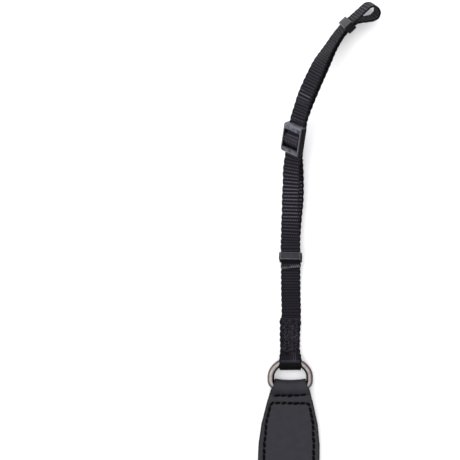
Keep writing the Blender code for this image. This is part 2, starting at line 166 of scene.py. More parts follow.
def ease(table, at, column=1):
    """Value of a table's column at each place: level at each row, and eased between rows."""
    table = np.array(table, float)
    at = np.clip(at, table[0, 0], table[-1, 0])
    row = np.clip(np.searchsorted(table[:, 0], at, side="left") - 1, 0, len(table) - 2)
    part = (at - table[row, 0]) / (table[row + 1, 0] - table[row, 0])
    before, after = table[row, column], table[row + 1, column]
    return before + (after - before) * part * part * (3 - 2 * part)


def steps(start, end, spacing):
    """Evenly spaced places from start to end, both included."""
    return np.linspace(start, end, max(1, round(abs(end - start) / spacing)) + 1)


def ramp(values, start, width):
    """0 before the start, 1 from a width beyond it, and even between; backwards where the width is below 0."""
    return np.clip((values - start) / width, 0.0, 1.0)


def hump(values, centre, width, power=2):
    """1 at the centre, and falling to 0 on both sides."""
    return np.exp(-(((values - centre) / width) ** power))


def strip_section(shares, thickness, corner):
    """Points round a strip's cross-section: share of the half width, further across, and lift off its middle.
    The shares of the half width are those of the upper side's columns."""
    rim = thickness / 2
    turn = np.radians(np.linspace(0.0, 90.0, 4))[1:]
    upper = columns(shares, -corner * shares, rim)
    plain = np.linspace(1.0, -1.0, 21)
    lower = columns(plain, -corner * plain, -rim)
    right = columns(1.0, corner * (np.sin(turn) - 1), rim - corner * (1 - np.cos(turn)))
    lower_right = right[::-1] * (1, 1, -1)
    return joined(upper, right, lower_right, lower, right * (-1, -1, -1), lower_right * (-1, -1, -1))


def lay_strip(rows, share, extra, lift):
    """Rings of points of a strip laid on the route through rows of place, height, half width and drift, and how
    far along and across the strip each point is."""
    at, height, half, drift = rows.T
    centre, across, _, up = route_frames(at)
    middle = centre + up * height[:, None] - across * drift[:, None]
    face = unit(np.cross(across, unit(np.gradient(middle, axis=0))))
    spread = share * half[:, None] + extra
    points = middle[:, None] + across[:, None] * spread[..., None] + face[:, None] * lift[..., None]
    length = np.broadcast_to(distances(middle)[:, None], spread.shape)
    return points, length, spread


def other_arm(points, length, spread):
    """The strip carried on round the middle of the bend to the end of the other arm."""
    points[-1, :, 0] = 0.0
    mirrored = points[-2::-1] * (-1, 1, 1)
    rest = 2 * length[-1] - length[-2::-1]
    return joined(points, mirrored), joined(length, rest), joined(spread, spread[-2::-1])


def add_object(name, data):
    """A new object in the scene."""
    made = bpy.data.objects.new(name, data)
    bpy.context.scene.collection.objects.link(made)
    return made


def new_piece(name, vertices, faces, finish):
    """An object at the origin, smooth, with its faces pointing outwards."""
    mesh = bpy.data.meshes.new(name)
    mesh.from_pydata(vertices, [], faces)
    shape = bmesh.new()
    shape.from_mesh(mesh)
    bmesh.ops.recalc_face_normals(shape, faces=shape.faces)
    shape.to_mesh(mesh)
    shape.free()
    mesh.shade_smooth()
    mesh.materials.append(finish)
    return add_object(name, mesh)


def strip_piece(name, points, length, spread, finish, **marks):
    """A closed strip from rings of points in millimetres, with its own length and width as its UV map in
    metres, and marks on its points as attributes."""
    count, around = points.shape[:2]
    ring = np.arange(around)
    first = np.arange(count - 1)[:, None] * around
    turned = np.roll(ring, -1)
    faces = np.stack([first + ring, first + turned, first + around + turned, first + around + ring], axis=-1)
    faces = faces.reshape(-1, 4).tolist()
    faces += [ring[::-1].tolist(), (ring + (count - 1) * around).tolist()]
    piece = new_piece(name, (points.reshape(-1, 3) * MM).tolist(), faces, finish)
    corners = np.zeros(len(piece.data.loops), int)
    piece.data.loops.foreach_get("vertex_index", corners)
    places = columns(length.ravel(), spread.ravel() + LEATHER_WIDTH)[corners] * MM
    piece.data.uv_layers.new(name="strip").data.foreach_set("uv", places.ravel())
    for mark, values in marks.items():
        attribute = piece.data.attributes.new(mark, "FLOAT", "POINT")
        attribute.data.foreach_set("value", np.broadcast_to(values, (count, around)).astype(np.float32).ravel())
    return piece


def wire_up(tree, kind, sockets=(), **settings):
    """A new shader node with its settings, its sockets given a value or another node's output."""
    made = tree.nodes.new("ShaderNode" + kind)
    for name, value in settings.items():
        setattr(made, name, value)
    for name, value in dict(sockets).items():
        if isinstance(value, bpy.types.NodeSocket):
            tree.links.new(value, made.inputs[name])
        else:
            made.inputs[name].default_value = value
    return made


def maths(tree, operation, first, second=0.5):
    """Output of a Math node."""
    return wire_up(tree, "Math", {0: first, 1: second}, operation=operation).outputs[0]


def times(tree, first, second):
    """Output of a Math node: the product of both."""
    return maths(tree, "MULTIPLY", first, second)


def scaled(tree, value, factor, base, clamped=False):
    """Output of a Math node: a value times a factor, plus a base."""
    sockets = {0: value, 1: factor, 2: base}
    return wire_up(tree, "Math", sockets, operation="MULTIPLY_ADD", use_clamp=clamped).outputs[0]


def blend(tree, factor, *colours):
    """Output of a Mix node for two colours, each another node's output or its red, green and blue."""
    first, second = ((*colour, 1.0) if isinstance(colour, tuple) else colour for colour in colours)
    return wire_up(tree, "Mix", {0: factor, 6: first, 7: second}, data_type="RGBA").outputs[2]


def noise(tree, place, scale, detail=2.0):
    """Output of a noise texture."""
    return wire_up(tree, "TexNoise", {"Vector": place, "Scale": scale, "Detail": detail}).outputs["Fac"]


def object_place(tree):
    """Output that gives the place on the object, in metres."""
    return wire_up(tree, "TexCoord").outputs["Object"]


def mark_on(tree, name):
    """Output that gives a mark of the mesh."""
    return wire_up(tree, "Attribute", attribute_name=name).outputs["Fac"]


def feed(shader, **sources):
    """Other nodes' outputs linked to a shader's sockets."""
    for label, source in sources.items():
        shader.id_data.links.new(source, shader.inputs[label.replace("_", " ")])


def add_bump(shader, height, distance, strength):
    """A bump on a shader."""
    bump = wire_up(shader.id_data, "Bump", {"Height": height, "Distance": distance, "Strength": strength})
    feed(shader, Normal=bump.outputs["Normal"])


def new_finish(name, **sockets):
    """A material, its node tree and its Principled shader with constants on the shader's own sockets."""
    finish = bpy.data.materials.new(name)
    finish.use_nodes = True
    shader = finish.node_tree.nodes["Principled BSDF"]
    for label, value in sockets.items():
        shader.inputs[label.replace("_", " ")].default_value = value
    return finish, finish.node_tree, shader


# Grain that leather and moulded plastic both have: cells, a fine tooth and slow patches, in millimetres
GRAIN = bpy.data.node_groups.new("surface_grain", "ShaderNodeTree")
for label, kind in (("Cell Size", "INPUT"), ("Patch Size", "INPUT"), ("Height", "OUTPUT"), ("Patches", "OUTPUT")):
    GRAIN.interface.new_socket(label, in_out=kind, socket_type="NodeSocketFloat")
grain_in, grain_out = GRAIN.nodes.new("NodeGroupInput").outputs, GRAIN.nodes.new("NodeGroupOutput").inputs
place = object_place(GRAIN)
cell_scale, patch_scale = (maths(GRAIN, "DIVIDE", 1000.0, grain_in[label]) for label in ("Cell Size", "Patch Size"))
cells = wire_up(GRAIN, "TexVoronoi", {"Vector": place, "Scale": cell_scale}, feature="SMOOTH_F1")
tooth = noise(GRAIN, place, times(GRAIN, cell_scale, 2.3), 3.0)
cell_height = times(GRAIN, cells.outputs["Distance"], 0.7)
GRAIN.links.new(maths(GRAIN, "ADD", cell_height, tooth), grain_out["Height"])
GRAIN.links.new(noise(GRAIN, place, patch_scale), grain_out["Patches"])


def grained(tree, cell_size, patch_size):
    """Outputs for the height and the patches of the grain."""
    grain = wire_up(tree, "Group", {"Cell Size": cell_size, "Patch Size": patch_size}, node_tree=GRAIN)
    return grain.outputs["Height"], grain.outputs["Patches"]


def leather_finish(name, light, dark, roughness, cell_size, grain_depth):
    """Grained leather, a little uneven in colour, black on its painted edges, with painted shade in its pressed
    stitch lines.
    """
    finish, tree, shader = new_finish(name, Specular_IOR_Level=0.2)
    height, patches = grained(tree, cell_size, 5.0)
    colour = blend(tree, mark_on(tree, "blackened"), blend(tree, patches, dark, light), (0.0015, 0.0015, 0.002))
    feed(shader, Base_Color=colour, Roughness=scaled(tree, patches, 0.16, roughness - 0.08))
    add_bump(shader, height, 0.0002, grain_depth)
    return finish


# The leather beyond the ring's bar: half its width, and the height of the face layer's middle
LEATHER_EDGE = ((-1, 11.8), (0.5, 12.5), (9.9, 15.2), (25.2, 18.8), (37.9, 20.3), (46, 20.5))
FACE_DESCENT = (
    (0.5, RING_HEIGHT + FOLD_RADIUS), (5.8, 4.5), (9, 4.35), (45, FACE_HEIGHT), (70, FACE_HEIGHT),
    (95, FACE_HEIGHT + 0.3), (135, FACE_HEIGHT + 0.3), (160, FACE_HEIGHT),
)


def leather_half_width(past):
    """Half the leather's width at distances past the ring's bar."""
    return np.interp(past, *zip(*LEATHER_EDGE))


# Off its middle, the lift of a face of the leather, just short of it
FACE_LIFT = LEATHER_THICKNESS / 2 - 0.01
# The backing's end is pared thin
pared = BACKING_STARTS + np.array([0.0, 0.15, 0.4])

section = strip_section(np.linspace(-1.0, 1.0, 25), LEATHER_THICKNESS, 0.4)
past = joined(pared, steps(BACKING_STARTS + 1.4, LEATHER_HALF_LENGTH, 1.5))
height = np.where(past < 58.0, ease(FACE_DESCENT, past) - FACE_HEIGHT + BACKING_HEIGHT, BACKING_HEIGHT)
rows = columns(BAR_AT + past, height, leather_half_width(past), 0.0)
thin = np.interp(past, pared, (0.5, 0.85, 1.0))[:, None]
points, length, spread = lay_strip(rows, section[:, 0], section[:, 1], thin * section[:, 2])
backing_leather = leather_finish("backing_leather", (0.024, 0.024, 0.027), (0.015, 0.015, 0.017), 0.72, 0.4, 0.5)
backing = strip_piece("strap_backing", *other_arm(points, length, spread), backing_leather,
                      blackened=0.9 * (np.abs(section[:, 2]) < FACE_LIFT))
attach(backing, "root")
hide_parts("pad_backing")

# ---- Leather face ----
# The strap's top layer, grained leather 1.6 mm thick with painted edges. Each end narrows, goes over the
# straight bar of a ring and is turned under and sewn. A line of stitches is pressed in all round its edge.

# The end turned under: how much is cut for it, how much is modelled, its height, and half its width
FLAP_LENGTH = 8.2
FLAP_HEIGHT = 2.6
FLAP_HALF = 10.9
FOLD_HALF = 10.3
# How far past the bar the rows of stitches across are; how far in from the leather's edge the side stitches are, by
# distance past the bar; the radius of their corner; and the spacing
FIRST_ROW_PAST = 5.4
FIRST_ROW_TILT = 0.045
SECOND_ROW_PAST = 10.8
STITCH_INSET = ((SECOND_ROW_PAST, 2.7), (20, 2.9), (35, 3.8), (46, 4))
CORNER_TURN = 2.2
STITCH_PITCH = 4.1
GROOVE_DEPTH = 0.42


def stitch_lines():
    """The stitch lines of one arm, as places past the ring's bar and across."""
    first = leather_half_width(FIRST_ROW_PAST) - 3.2
    row = np.linspace(-first, first, 80)
    side_past = steps(LEATHER_HALF_LENGTH, SECOND_ROW_PAST + CORNER_TURN, 0.25)
    side = leather_half_width(side_past) - ease(STITCH_INSET, side_past)
    turn = np.radians(np.linspace(0.0, 90.0, 10))
    corner_past = SECOND_ROW_PAST + CORNER_TURN * (1 - np.sin(turn))
    corner = side[-1] - CORNER_TURN * (1 - np.cos(turn)) - 0.3 * np.sin(turn)
    across = steps(corner[-1], -corner[-1], 0.25)[1:-1]
    run = joined(side_past, corner_past[1:], np.full(len(across), SECOND_ROW_PAST),
                 corner_past[:0:-1], side_past[::-1])
    width = joined(side, corner[1:], across, -corner[:0:-1], -side[::-1])
    return columns(FIRST_ROW_PAST - FIRST_ROW_TILT * row, row), columns(run, width)


def stitch_count(line):
    """How many stitches go on a line."""
    return max(1, round(distances(line)[-1] / STITCH_PITCH))


LINES = stitch_lines()
stitch_marks = np.concatenate([
    columns(*line.T, distances(line) * stitch_count(line) / distances(line)[-1])[::2] for line in LINES])


def from_stitches(past, across):
    """Distance of places on the leather from the nearest stitch line, and how many stitches along it they are."""
    gaps, counts = np.full(past.shape, 99.0), np.zeros(past.shape)
    for low in np.arange(0.0, past.max() + 20.0, 20.0):
        here = (past >= low) & (past < low + 20.0)
        near = stitch_marks[(stitch_marks[:, 0] > low - 4.0) & (stitch_marks[:, 0] < low + 24.0)]
        if here.any() and len(near):
            gap = np.hypot(past[here][:, None] - near[:, 0], across[here][:, None] - near[:, 1])
            gaps[here] = gap.min(axis=1)
            counts[here] = near[gap.argmin(axis=1), 2]
    return gaps, counts


# Columns close together under the stitches and at the edge, and wide apart elsewhere
right_shares = joined(np.linspace(0.06, 0.7, 11), np.linspace(0.73, 0.9, 14), (0.93, 0.955, 0.975, 1.0))
section = strip_section(joined(-right_shares[::-1], [0.0], right_shares), LEATHER_THICKNESS, 0.45)
# Rows of the end turned under, of the fold round the bar and of the top, as the leather runs
past = joined([FLAP_LENGTH + 0.25, FLAP_LENGTH + 0.15], steps(FLAP_LENGTH, 0.0, 0.7))
flap_height = ease(((0.0, RING_HEIGHT - FOLD_RADIUS), (6.0, FLAP_HEIGHT)), past)
flap = columns(BAR_AT + past, flap_height, FLAP_HALF + past / 4, 0.0)
turn = np.radians(np.linspace(-90, -270, 31))[1:]
fold = columns(BAR_AT - 0.5 + FOLD_RADIUS * np.cos(turn), RING_HEIGHT + FOLD_RADIUS * np.sin(turn),
               FOLD_HALF + 0.9 * np.abs(np.sin(turn)) ** 4, 0.0)
past = joined(steps(0.6, 14.0, 0.28), steps(14.5, 60.0, 0.5), steps(61.0, LEATHER_HALF_LENGTH, 1.0))
top = columns(BAR_AT + past, ease(FACE_DESCENT, past), leather_half_width(past), 0.0)
rows = joined(flap, fold, top)
thin = np.ones(len(rows))
thin[:3] = (0.45, 0.85, 1.0)
past = np.where(np.arange(len(rows)) < len(flap) + len(fold), -9.0, rows[:, 0] - BAR_AT)[:, None]
across = section[:, 0] * rows[:, 2:3] + section[:, 1]
upper = section[:, 2] > FACE_LIFT
gap, stitches_along = from_stitches(np.broadcast_to(past, across.shape), across)
# The thread pulls a groove into the leather, which puckers a little on both sides of it
between = np.abs(2.0 * (stitches_along % 1.0) - 1.0)
pucker = 0.12 * hump(gap, 1.7, 0.8) * (2.0 * between - 1.0)
bulge = 0.3 * hump(past, 3.2, 1.6) * np.clip(1.0 - (across / 12.0) ** 4, 0.0, 1.0)
lift = thin[:, None] * section[:, 2] + (bulge + pucker - GROOVE_DEPTH * hump(gap, 0.0, 0.8)) * upper
points, length, spread = lay_strip(rows, section[:, 0], section[:, 1], lift)
# The ring's corners push the ends of the fold out further than its middle
pushed = ramp(rows[:, :1], BAR_AT, -FOLD_RADIUS) * 0.8 * section[:, 0] ** 2
points -= pushed[..., None] * route_frames(rows[:, 0])[2][:, None]
from_edge = rows[:, 2:3] - np.abs(across)
painted = np.where(upper, ramp(from_edge, 1.0, -0.5), np.abs(section[:, 2]) < FACE_LIFT)
# Painted shade in the pressed groove of the stitches, darkest at their holes, is added to the black paint of the
# edges
groove_shade = np.clip(1.25 * hump(gap, 0.0, 0.85, 4), 0.0, 1.0) * upper
blackened = np.maximum(painted * 0.85, groove_shade * (1.0 - 0.7 * ramp(between, 0.66, 0.2)))
blackened = joined(blackened, blackened[-2::-1])
face_leather = leather_finish("face_leather", (0.0175, 0.0175, 0.0236), (0.0076, 0.0076, 0.0113), 0.55, 0.55, 1.0)
strap_face = strip_piece("strap_face", *other_arm(points, length, spread), face_leather, blackened=blackened)
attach(strap_face, "root")
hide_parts("pad_face")

# ---- Stitches of the leather ----
# Thick black waxed thread through both layers. The stitches are slanted in the pressed line, with their ends in
# their holes.

STITCH_LENGTH = 3.7
THREAD = 1.38
STITCH_SLANT = 11.0


def copies(name, places, faces, frames, finish):
    """One piece of copies of a shape, one for each frame of centre, across, along and up, on both arms."""
    frames = frames + [tuple(part * (-1, 1, 1) for part in frame) for frame in frames]
    vertices = [centre + places @ np.stack(axes) for centre, *axes in frames]
    all_faces = [tuple(index + number * len(places) for index in face)
                 for number in range(len(frames)) for face in faces]
    return new_piece(name, (np.concatenate(vertices) * MM).tolist(), all_faces, finish)


def thread_shape(length, thickness, dip):
    """Points and faces of one stitch along Y, with its ends dipped into the holes."""
    bpy.ops.mesh.primitive_uv_sphere_add(segments=8, ring_count=7, radius=MM)
    ball = bpy.context.object
    places = np.array([vertex.co for vertex in ball.data.vertices]) / MM
    faces = sorted(tuple(face.vertices) for face in ball.data.polygons)
    bpy.data.objects.remove(ball, do_unlink=True)
    reach = places[:, 2]
    body = thickness / 2 * np.sqrt(np.clip(1.0 - np.abs(reach) ** 5, 0.0, 1.0))
    ring = np.maximum(np.hypot(places[:, 0], places[:, 1]), 1e-6)
    return columns(places[:, 0] / ring * body, length / 2 * reach,
                   places[:, 1] / ring * body - dip * reach**4), faces


def stitch_frames(line, unevenness, rng):
    """Frames of the stitches on a line of places past the bar and across, each a little off its even place."""
    marks = distances(line)
    count = stitch_count(line)
    middle = (np.arange(count) + 0.5) * marks[-1] / count
    past, across = (np.interp(middle, marks, column) for column in line.T)
    run_past, run_across = (np.interp(middle + 0.5, marks, column) - np.interp(middle - 0.5, marks, column)
                            for column in line.T)
    past = past + rng.normal(0.0, unevenness, count)
    slant = np.radians(STITCH_SLANT + rng.normal(0.0, 4.0 + 12.0 * unevenness, count))
    size = rng.uniform(0.9, 1.0 + unevenness, count)[:, None]
    length = np.hypot(run_past, run_across)
    run_past, run_across = run_past / length, run_across / length
    turned_past = run_past * np.cos(slant) - run_across * np.sin(slant)
    turned_across = run_past * np.sin(slant) + run_across * np.cos(slant)
    centre, side, along, up = route_frames(BAR_AT + past)
    centre = centre + side * across[:, None] + up * ease(FACE_DESCENT, past)[:, None]
    slope = (ease(FACE_DESCENT, past + 0.5) - ease(FACE_DESCENT, past - 0.5))[:, None]
    along = unit(along + up * slope)
    up = np.cross(side, along)
    centre = centre + up * (LEATHER_THICKNESS / 2 - 0.1)
    run = along * turned_past[:, None] + side * turned_across[:, None]
    return list(zip(centre, np.cross(run, up) * size, run * np.minimum(size, 1.1), up))


def thread_finish(name, specular, twist_scale, contrast, dark, light, shine):
    """Twisted thread whose colour varies by noise between a dark and a light tone. Contrast and shine are each a
    factor and a base.
    """
    finish, tree, shader = new_finish(name, Specular_IOR_Level=specular)
    twist = noise(tree, object_place(tree), twist_scale)
    colour = blend(tree, scaled(tree, twist, *contrast, clamped=True), dark, light)
    feed(shader, Base_Color=colour, Roughness=scaled(tree, twist, *shine))
    return finish


rng = np.random.default_rng(4)
frames = []
for line, unevenness in zip(LINES, (0.3, 0.12)):
    frames += stitch_frames(line, unevenness, rng)
waxed_thread = thread_finish("waxed_thread", 0.02, 2500.0, (1.0, 0.0), (0.0003, 0.0003, 0.0004),
                             (0.003, 0.003, 0.004), (0.3, 0.6))
stitches = copies("leather_stitches", *thread_shape(STITCH_LENGTH, THREAD, 0.4), frames, waxed_thread)
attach(stitches, "root")

# ---- Webbing ----
# Half-inch nylon webbing, 1.3 mm thick, woven with thick cross ribs and a rounded selvedge. It is sewn round
# the ring, runs to the lug loop and comes back on top of itself; its cut end is sealed with heat.

WEBBING_THICKNESS = 1.3
# Height of the middle of each of its two layers, the ring's wire that it goes round, and its loop for the lug
LOWER_LAYER = 0.65
UPPER_LAYER = 2.25
WIRE = 4.6
EYE_RADIUS = 4.6
EYE_LENGTH = 19.0
RIB_DEPTH = 0.34
BUNDLE = 1.27
LUMP = 0.8
# Distance from rib to rib along the arm, which opens where the webbing arches; how far the ribs stand open,
# which also sets how strong their painted shade and painted highlight are; and how far the twist skews those of
# the upper layer
RIB_PITCH = ((0, 2.05), (118, 2.1), (134, 2.27), (166, 2.27), (180, 1.87), (260, 1.87))
OPEN_RIBS = (
    (0, 0.95), (24, 0.75), (33, 0.4), (52, 0.6), (70, 0.45), (92, 0.4), (104, 0.45), (126, 0.35), (136, 0.7),
    (146, 0.93), (160, 0.88), (172, 0.5), (180, 0.3), (196, 0.42), (206, 0.36), (214, 0.22), (262, 0.25),
)
RIB_SKEW = (
    (20, -4), (33, 16), (47, 34), (57, 23), (67, 14), (78, 3), (92, -8), (98, -4), (124, 3), (131, 11), (138, 5),
    (150, -2), (160, -5), (180, 0),
)
# Where each crease is, how sharp it is, and the part of the width that it crosses
CREASES = (
    (77.6, 0.5, -1, -0.25), (79.7, 0.8, -0.85, 0.8), (82.2, 0.6, -0.9, 0.75), (84.5, 0.4, -0.9, 0.5),
    (96.2, 0.45, -0.9, 0.9), (98.6, 0.35, -0.7, 0.9), (107, 0.65, -0.75, 0.9), (108.9, 0.45, -0.2, 0.9),
)
# Where things are along the arm, and how high the webbing rises over the ring and over the slide's middle bar
UPPER_KEEPER_AT = 22.6
ADJUSTER_AT = 109.1
MIDDLE_BAR_AT = 0.5
LOWER_KEEPER_AT = 190.0
TAIL_END_AT = 196.6
SEWN_END_AT = 230.7
CREST_HEIGHT = RING_HEIGHT + WIRE / 2 + LAYER_GAP + WEBBING_THICKNESS / 2
WEAVE_RISE = 4.5
# Rise and drift to the side of the upper layer; rise of both over the middle bar; and the sewn part's height, half
# width and drift
UPPER_LAYER_ROWS = (
    (UPPER_KEEPER_AT + 14, 0, 0), (UPPER_KEEPER_AT + 36, 1.6, 0), (ADJUSTER_AT - 34, 1.7, 0),
    (ADJUSTER_AT - 12, 0, 0), (ADJUSTER_AT + 10, 0, 0), (ADJUSTER_AT + 25, 2.5, 0.5), (ADJUSTER_AT + 41, 2.7, 0.9),
    (ADJUSTER_AT + 56, 1, 0.5), (ADJUSTER_AT + 68, 0, 0), (LOWER_KEEPER_AT + 2.5, 0, 0), (TAIL_END_AT, 0.3, -0.6),
)
WEAVE_ROWS = (
    (ADJUSTER_AT + MIDDLE_BAR_AT - 6.9, 0), (ADJUSTER_AT + MIDDLE_BAR_AT - 0.3, WEAVE_RISE),
    (ADJUSTER_AT + MIDDLE_BAR_AT + 0.3, WEAVE_RISE), (ADJUSTER_AT + MIDDLE_BAR_AT + 6.9, 0),
)
SEWN_ROWS = (
    (SEWN_END_AT, UPPER_LAYER, 6.4, 0.5), (SEWN_END_AT + 2, UPPER_LAYER, 7.2, 0.4),
    (SEWN_END_AT + 5, UPPER_LAYER, 6.75, 0.3), (CREST_AT - 7.5, UPPER_LAYER, 6.5, 0),
    (CREST_AT - 0.3, CREST_HEIGHT, 7.4, 0),
)


def arc_rows(centre_at, centre_height, radius, start, end):
    """Rows of the webbing on an arc seen from the side; 0 degrees points along the route."""
    turn = np.radians(np.linspace(start, end, 17))
    height = centre_height + radius * np.sin(turn)
    return columns(centre_at + radius * np.cos(turn), height, WEBBING_WIDTH / 2, 0.0)


def weave(at, offset):
    """Rows of a layer where both rise over the middle bar, offset from the line between them."""
    slope = (ease(WEAVE_ROWS, at + 0.05) - ease(WEAVE_ROWS, at - 0.05)) / 0.1
    run = np.hypot(1.0, slope)
    height = (LOWER_LAYER + UPPER_LAYER) / 2 + ease(WEAVE_ROWS, at) + offset / run
    return columns(at - offset * slope / run, height, WEBBING_WIDTH / 2, 0.0)


def webbing_rows():
    """The webbing from its sewn end, round the ring, to the lug loop and back to its cut end."""
    half = WEBBING_WIDTH / 2
    ring_radius = (CREST_HEIGHT - LOWER_LAYER) / 2
    eye_centre = EYE_RADIUS + WEBBING_THICKNESS / 2
    slide_start, slide_end = WEAVE_ROWS[0][0] - 0.6, WEAVE_ROWS[-1][0] + 0.6
    neck = SEWN_ROWS[3][0]
    at = joined(steps(SEWN_END_AT, neck, 0.6)[:-1], steps(neck, CREST_AT, 0.6))
    sewn = columns(at, *(ease(SEWN_ROWS, at, column) for column in (1, 2, 3)))
    ring_turn = arc_rows(CREST_AT + 2.1, LOWER_LAYER + ring_radius, ring_radius, 90, -90)
    ring_turn[:, 2] = half + 1.05 * ramp(ring_turn[:, 1], 3.2, 3.5)
    lower_run = columns(steps(CREST_AT, slide_end + 1.0, 2.0), LOWER_LAYER, half, 0.0)
    lower_rest = columns(steps(slide_start - 1.0, EYE_LENGTH + 1.0, 2.0), LOWER_LAYER, half, 0.0)
    at = steps(EYE_LENGTH, eye_centre, 1.0)[:-1]
    eye_height = ease(((eye_centre, UPPER_LAYER - 2 * EYE_RADIUS), (EYE_LENGTH, LOWER_LAYER)), at)
    lug_turn = arc_rows(eye_centre, UPPER_LAYER - EYE_RADIUS, EYE_RADIUS, 270, 90)
    to_slide, to_tail = (
        columns(at, UPPER_LAYER + ease(UPPER_LAYER_ROWS, at), half, ease(UPPER_LAYER_ROWS, at, 2))
        for at in (steps(eye_centre + 1.0, slide_start - 1.5, 2.0), steps(slide_end + 1.5, TAIL_END_AT, 1.5))
    )
    return joined(
        sewn, ring_turn, lower_run, weave(steps(slide_end, slide_start, 0.5), -0.8), lower_rest,
        columns(at, eye_height, half, 0.0), lug_turn, to_slide, weave(steps(slide_start, slide_end, 0.5), 0.8),
        to_tail,
    )


def even_rows(rows, spacing):
    """The same rows taken at an even spacing along the strip."""
    centre, across, _, up = route_frames(rows[:, 0])
    marks = distances(centre + up * rows[:, 1:2] - across * rows[:, 3:4])
    places = steps(0.0, marks[-1], spacing)
    return columns(*(np.interp(places, marks, column) for column in rows.T)), places


# Places on the webbing: run is the distance from its sewn end, and at is the distance along the arm
rows, run = even_rows(webbing_rows(), 0.34)
at, run = rows[:, :1], run[:, None]
webbing_length = float(run[-1, 0])
section = strip_section(np.linspace(-1.0, 1.0, 31), WEBBING_THICKNESS, 0.5)
shares, rim = section[:, 0], section[:, 2]
outer, top_side = np.abs(rim) > WEBBING_THICKNESS / 2 - 0.01, rim > 0
across = shares * rows[:, 2:3]
upper_layer = run > run[at.argmin()]
open_ribs, pitch, lean = (ease(table, at) for table in (OPEN_RIBS, RIB_PITCH, RIB_SKEW))
skew = np.tan(np.radians(lean)) * upper_layer
# Each rib a little off its even place, and its painted highlight a little uneven in strength
rng = np.random.default_rng(7)
knots = np.arange(0.0, webbing_length, 3.1)
wander = 0.16 * np.interp(run, knots, rng.normal(0, 1, len(knots)))
rib_number = np.cumsum(np.gradient(run, axis=0) / pitch, axis=0)
rib_highlight_strengths = rng.uniform(0.84, 1.0, int(rib_number[-1, 0]) + 2)
highlight_strength = np.interp(rib_number, np.arange(len(rib_highlight_strengths)), rib_highlight_strengths)
rib_count = rib_number + (wander - across * skew) / pitch
rib = 0.5 + 0.5 * np.cos(2 * math.pi * rib_count)
furrow = 1.0 - rib**0.6
# Painted shade goes in the furrows between the ribs, on the selvedges (less on the upper layer's inner one) and in
# a trough beside each crease. Painted highlight goes on the rib crowns and along the creases
selvedge = ramp(np.abs(shares), 0.9, 0.08) * (1.0 - 0.6 * (shares > 0.0) * upper_layer)
inside = 1.0 - selvedge
creased, crease_shade = 0.0 * rib, 0.0 * rib
for place, sharp, start, end in CREASES:
    beyond = at - across * skew - place
    part = upper_layer * ramp(shares, start - 0.075, 0.15) * ramp(shares, end + 0.075, -0.15)
    creased = creased + sharp * part * hump(beyond, 0.0, 0.36)
    crease_shade = crease_shade + part * hump(beyond, 1.1, 0.5)
painted_shade = furrow * (0.65 + 0.35 * open_ribs) * inside
painted_shade = np.clip(painted_shade + selvedge * (0.95 - 0.45 * rib) + 0.8 * crease_shade - creased, 0.0, 1.0)
# The lower layer's ribs catch the light beside the upper layer's edge
bright_edge = (1.0 - upper_layer) * (shares > 0.35) * ((at > 138.0) & (at < 178.0))
painted_highlight = 1.05 * rib**3.5 * open_ribs * highlight_strength * inside * (1.0 + 5.0 * bright_edge)
painted_highlight = np.clip(painted_highlight + 0.8 * creased * (1.0 - 0.7 * selvedge), 0.0, 1.0)
# In the adjuster's window, over the middle bar, the painted shade is lightened and an even painted highlight is
# added
window_highlight = hump(at, ADJUSTER_AT + MIDDLE_BAR_AT, 4.6, 4) * upper_layer * inside
painted_shade = painted_shade * (1.0 - 0.65 * window_highlight)
painted_highlight = np.clip(painted_highlight * (1.0 - 0.4 * window_highlight) + 0.2 * window_highlight, 0.0, 1.0)
# The sewn part is puckered by its stitches, with painted shade in the puckers and painted highlight specks; before
# the ring a painted highlight runs across it, and under the bend round the ring it has painted shade
heights = rng.normal(0.0, 0.9, (40, 24))
row_place = np.clip(run / LUMP, 0.0, 38.9) + 0.0 * across
column_place = (across + 9.0) / LUMP
row, column = row_place.astype(int), column_place.astype(int)
row_part, column_part = row_place - row, column_place - column
lumps = sum(heights[row + down, column + right] * np.abs(1 - down - row_part) * np.abs(1 - right - column_part)
            for down in (0, 1) for right in (0, 1))
sewn = (run < 26.0) * outer * top_side
ring_bend_shade = ramp(run, 31.2, 1.4) * ramp(run, 42.0, -2.0)
painted_shade = np.clip(painted_shade + sewn * np.clip(lumps, 0.0, 1.0) + ring_bend_shade, 0.0, 1.0)
fold_highlight = 0.7 * hump(run, 30.2, 0.45) * inside
painted_highlight = painted_highlight * (1.0 - ring_bend_shade) * (1.0 - 0.6 * sewn)
painted_highlight = np.clip(painted_highlight + sewn * 0.4 * np.clip(-lumps - 0.3, 0.0, 1.0) + fold_highlight, 0.0, 1.0)
# Before the ring it is stretched, and its bundles show as lines of painted highlight with painted shade between
# them
stretched = ramp(run, 21.0, 4.0) * ramp(run, 31.5, -1.5) * ramp(across, -1.5, 3.0) * ramp(across, 6.0, -1.2)
stretched = np.maximum(stretched, hump(run, 30.8, 1.1) * inside) * top_side
# Painted shadow on the tail in front of the keeper, and on the layer below just past the tail's end
tail_shadow = (1.0 - upper_layer) * (run > 30.0) * hump(at + 0.8 * shares, TAIL_END_AT + 1.4, 0.8)
painted_light_mark = upper_layer * hump(at, LOWER_KEEPER_AT + 2.8, 1.3) + 0.8 * tail_shadow
painted_shade, painted_highlight = np.maximum(painted_shade, 0.95 * painted_light_mark), painted_highlight * (1.0 - painted_light_mark)
from_tail = webbing_length - run
end_thin = np.clip((np.minimum(run, from_tail) + 0.15) / 0.6, 0.3, 1.0) ** 0.5
rise = outer * (0.25 * creased - RIB_DEPTH * furrow * (0.6 + 0.4 * open_ribs)) - 0.16 * sewn * lumps
